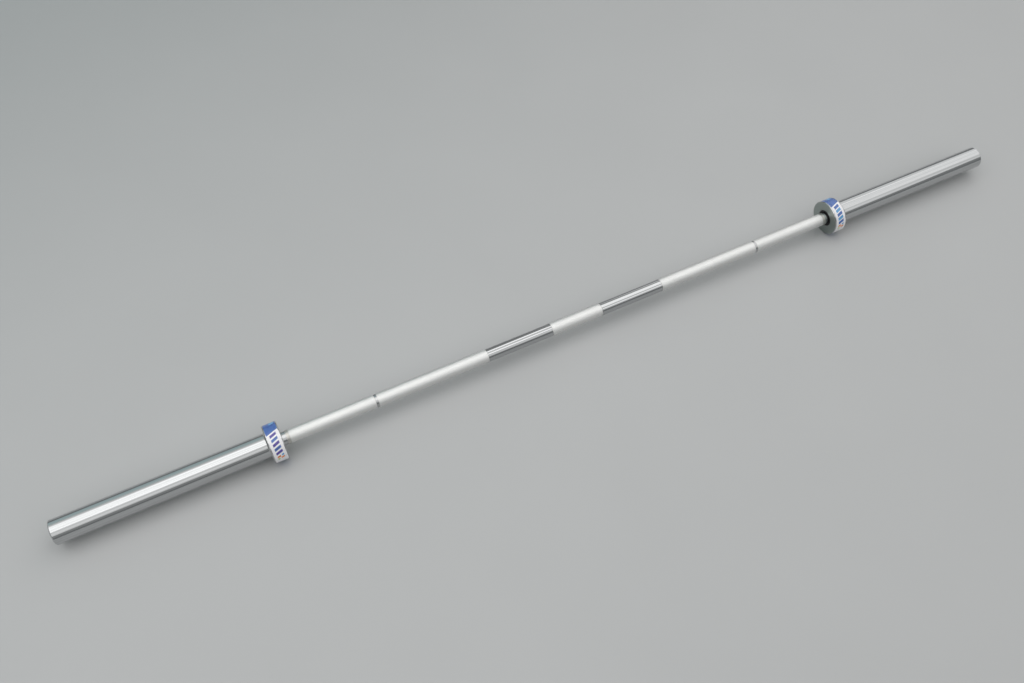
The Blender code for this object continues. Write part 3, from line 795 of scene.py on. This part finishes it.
def circlip(side, part, body, seat, width, ear, hole, outward):
    """A flat spring ring, widest opposite its opening, with a drilled ear at each end.

    seat is the radius of the edge that lies in the groove, ear is how far an ear stands out beyond
    the ring's slim end, and hole is the diameter of its plier hole.
    """
    low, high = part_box(f"{side}_{part}")
    sign = 1 if outward else -1
    slim = width * (1.0 - CLIP_TAPER)
    tip = slim + ear
    drill_r = seat + sign * CLIP_HOLE_AT * tip
    half = math.radians(CLIP_HALF)
    length = math.radians(CLIP_EAR) * drill_r
    ramp = math.radians(CLIP_RAMP) * drill_r
    ear_outline = soften(
        [
            (0.0, 0.0),
            (0.0, slim),
            (ramp, tip, 0.6),
            (length - ramp, tip, 0.6),
            (length, tip - 0.8, 0.5),
            (length, 0.0, 0.25),
        ],
        True,
        span=0.4,
    )
    shape = bmesh.new()

    def spot(turn, reach):
        radius = seat + sign * reach
        return Vector((radius * math.sin(turn), -radius * math.cos(turn)))

    def column(at):
        return at, [shape.verts.new((x / MM, *at)) for x in (low.x, high.x)]

    def wall(here, there):
        shape.faces.new((here[1][0], there[1][0], there[1][1], here[1][1]))

    def flats(columns):
        for level in (0, 1):
            shape.faces.new([corner[level] for at, corner in columns])

    ring = []
    steps = 96
    for n in range(steps + 1):
        turn = half * (2 * n / steps - 1)
        reach = width * (1.0 - CLIP_TAPER * abs(turn) / half)
        ring.append((column(spot(turn, 0.0)), column(spot(turn, reach))))
    joints = {}
    for way, (seat_corner, slim_corner) in ((-1, ring[0]), (1, ring[-1])):
        rim = []
        for along, reach in ear_outline:
            if along == 0.0 and reach in (0.0, slim):
                rim.append(slim_corner if reach else seat_corner)
            else:
                rim.append(column(spot(way * (half + along / drill_r), reach)))
        joint = [n for n, (along, reach) in enumerate(ear_outline) if along == 0.0]
        joints[way] = [rim[n] for n in joint]
        centre = spot(way * (half + length / 2 / drill_r), CLIP_HOLE_AT * tip)
        drilled = [column(centre + hole / 2 * (at - centre).normalized()) for at, corner in rim]
        for n in range(len(rim)):
            m = (n + 1) % len(rim)
            flats([rim[n], rim[m], drilled[m], drilled[n]])
            wall(drilled[n], drilled[m])
            if n not in joint or m not in joint:
                wall(rim[n], rim[m])
    for n, (near, far) in enumerate(zip(ring, ring[1:])):
        first = joints[-1] if n == 0 else list(near)
        last = joints[1] if n == steps - 1 else list(far)
        flats([*first, *reversed(last)])
        wall(near[0], far[0])
        wall(near[1], far[1])
    bmesh.ops.recalc_face_normals(shape, faces=shape.faces)
    edges = [e for e in shape.edges if sum(abs(f.normal.x) > 0.9 for f in e.link_faces) == 1]
    bmesh.ops.bevel(shape, geom=edges, offset=0.1, segments=2, profile=0.5, affect="EDGES")
    shape.verts.index_update()
    stamped = Shape()
    faces = [[v.index for v in face.verts] for face in shape.faces]
    stamped.add([tuple(v.co) for v in shape.verts], faces)
    shape.free()
    node = f"{side}_{part}"
    stamped.piece(f"{node}_spring", body, [SPRING_STEEL], [node], "spring_steel", smooth=20.0)


shaft_core()
knurled_bands()
for side in SIDES:
    sleeve(side)
    band(side)
    dust_seal(side)
    ring_piece(side, "inner_washer", RUNNING_R, HARD_STEEL, "bearing_steel")
    ring_piece(side, "outer_washer", RUNNING_R, HARD_STEEL, "bearing_steel")
    ring_piece(side, "inner_bushing", RUNNING_R, BRONZE, "bronze")
    ring_piece(side, "outer_bushing", RUNNING_R, BRONZE, "bronze")
    for number in (1, 2, 3):
        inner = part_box("right_spacer_1")[1].z / MM - SPACER_WALL
        ring_piece(side, f"spacer_{number}", inner, TUBE_STEEL, "tube_steel")
    for number in (1, 2, 3, 4):
        bearing(side, number)
    end_plug(side)
    sizes = {"seat": 19.0, "width": 3.2, "ear": 3.0, "hole": 2.2}
    circlip(side, "plug_circlip", f"{side}_sleeve", **sizes, outward=False)
    sizes = {"seat": 11.65, "width": 2.85, "ear": 1.8, "hole": 1.6}
    circlip(side, "shaft_circlip", "shaft", **sizes, outward=True)


# The floor, the light and the camera
HORIZON = (0.198, 0.209, 0.213, 1.0)  # as pale as the floor's far end, so that no line shows


def pale_floor():
    """A plain floor that the collars rest on."""
    s = Surface("pale_floor", 0.0, IOR=1.4)
    tone = s.blend(s.noise((3.0, 3.0, 3.0), 3.0, 0.5), (0.418, 0.424, 0.426), (0.442, 0.448, 0.450))
    material = s.finish(tone, 0.62)
    half = 15.0
    mesh = bpy.data.meshes.new("floor")
    level = -COLLAR_R * MM
    corners = [(-half, -half), (half, -half), (half, half), (-half, half)]
    mesh.from_pydata([(x, y, level) for x, y in corners], [], [(0, 1, 2, 3)])
    mesh.materials.append(material)
    floor = bpy.data.objects.new("floor", mesh)
    bpy.context.scene.collection.objects.link(floor)


def softbox(name, first, last, glow, start=-4.0, end=4.0, height=1.86, tint=(1.0, 1.0, 1.0)):
    """A lamp along the bar that shines straight down. glow is its brightness as seen.

    first and last are the angles between which the bar sees it, from 0 at the far side, over 90
    straight above, to 180 at the camera's side.
    """
    far, near = (height / math.tan(math.radians(angle)) for angle in (first, last))
    width, length = far - near, end - start
    lamp = bpy.data.lights.new(name, "AREA")
    lamp.shape = "RECTANGLE"
    lamp.size = length
    lamp.size_y = width
    lamp.energy = glow * 4 * width * length
    lamp.color = tint
    obj = bpy.data.objects.new(name, lamp)
    obj.location = ((start + end) / 2, (far + near) / 2, height)
    obj.visible_camera = False
    bpy.context.scene.collection.objects.link(obj)


def studio():
    """Lamps that the bar mirrors as long bands, under a sky that grows paler upwards."""
    world = bpy.data.worlds.new("studio")
    bpy.context.scene.world = world
    world.use_nodes = True
    tree = world.node_tree
    direction = tree.nodes.new("ShaderNodeTexCoord").outputs["Generated"]
    parts = tree.nodes.new("ShaderNodeSeparateXYZ")
    tree.links.new(direction, parts.inputs[0])
    ramp = tree.nodes.new("ShaderNodeValToRGB")
    tree.links.new(parts.outputs["Z"], ramp.inputs[0])
    ramp.color_ramp.elements[0].color = HORIZON
    ramp.color_ramp.elements[1].color = (0.54, 0.54, 0.53, 1.0)
    tree.links.new(ramp.outputs[0], tree.nodes["Background"].inputs[0])
    softbox("wide_softbox", 53, 152, 0.33, height=1.9)
    for name, first, last in (("far", 66, 80), ("middle", 81.5, 99), ("near", 100.5, 116)):
        softbox(f"key_{name}", first, last, 0.60, end=0.16)
        softbox(f"right_key_{name}", first, last, 0.26, start=1.4)
    softbox("centre_strip_far", 54, 71, 0.85, start=0.16, end=0.62)
    softbox("centre_strip_near", 100, 114, 0.90, start=0.16, end=0.62)
    softbox("centre_key_far", 60, 102, 0.62, start=0.70, end=1.4)
    softbox("centre_key_near", 122, 136, 0.60, start=0.70, end=1.4)
    softbox("fill_strip", 129, 147, 0.13)
    softbox("right_window", 18, 62, 0.46, start=1.5, end=5.0)
    softbox("left_wall", 17, 50, 0.16, end=0.2, tint=(0.45, 0.95, 1.0))


def photo_camera():
    """The camera, fitted to the photograph."""
    data = bpy.data.cameras.new("camera")
    data.lens = 33.8135
    data.sensor_width = 36.0
    camera = bpy.data.objects.new("camera", data)
    camera.location = (-0.662235, -1.04876, 1.647864)
    camera.rotation_euler = [math.radians(a) for a in (35.5312, 0.3037, -26.3868)]
    bpy.context.scene.collection.objects.link(camera)
    bpy.context.scene.camera = camera


pale_floor()
studio()
photo_camera()
bpy.context.scene.view_settings.view_transform = "Standard"
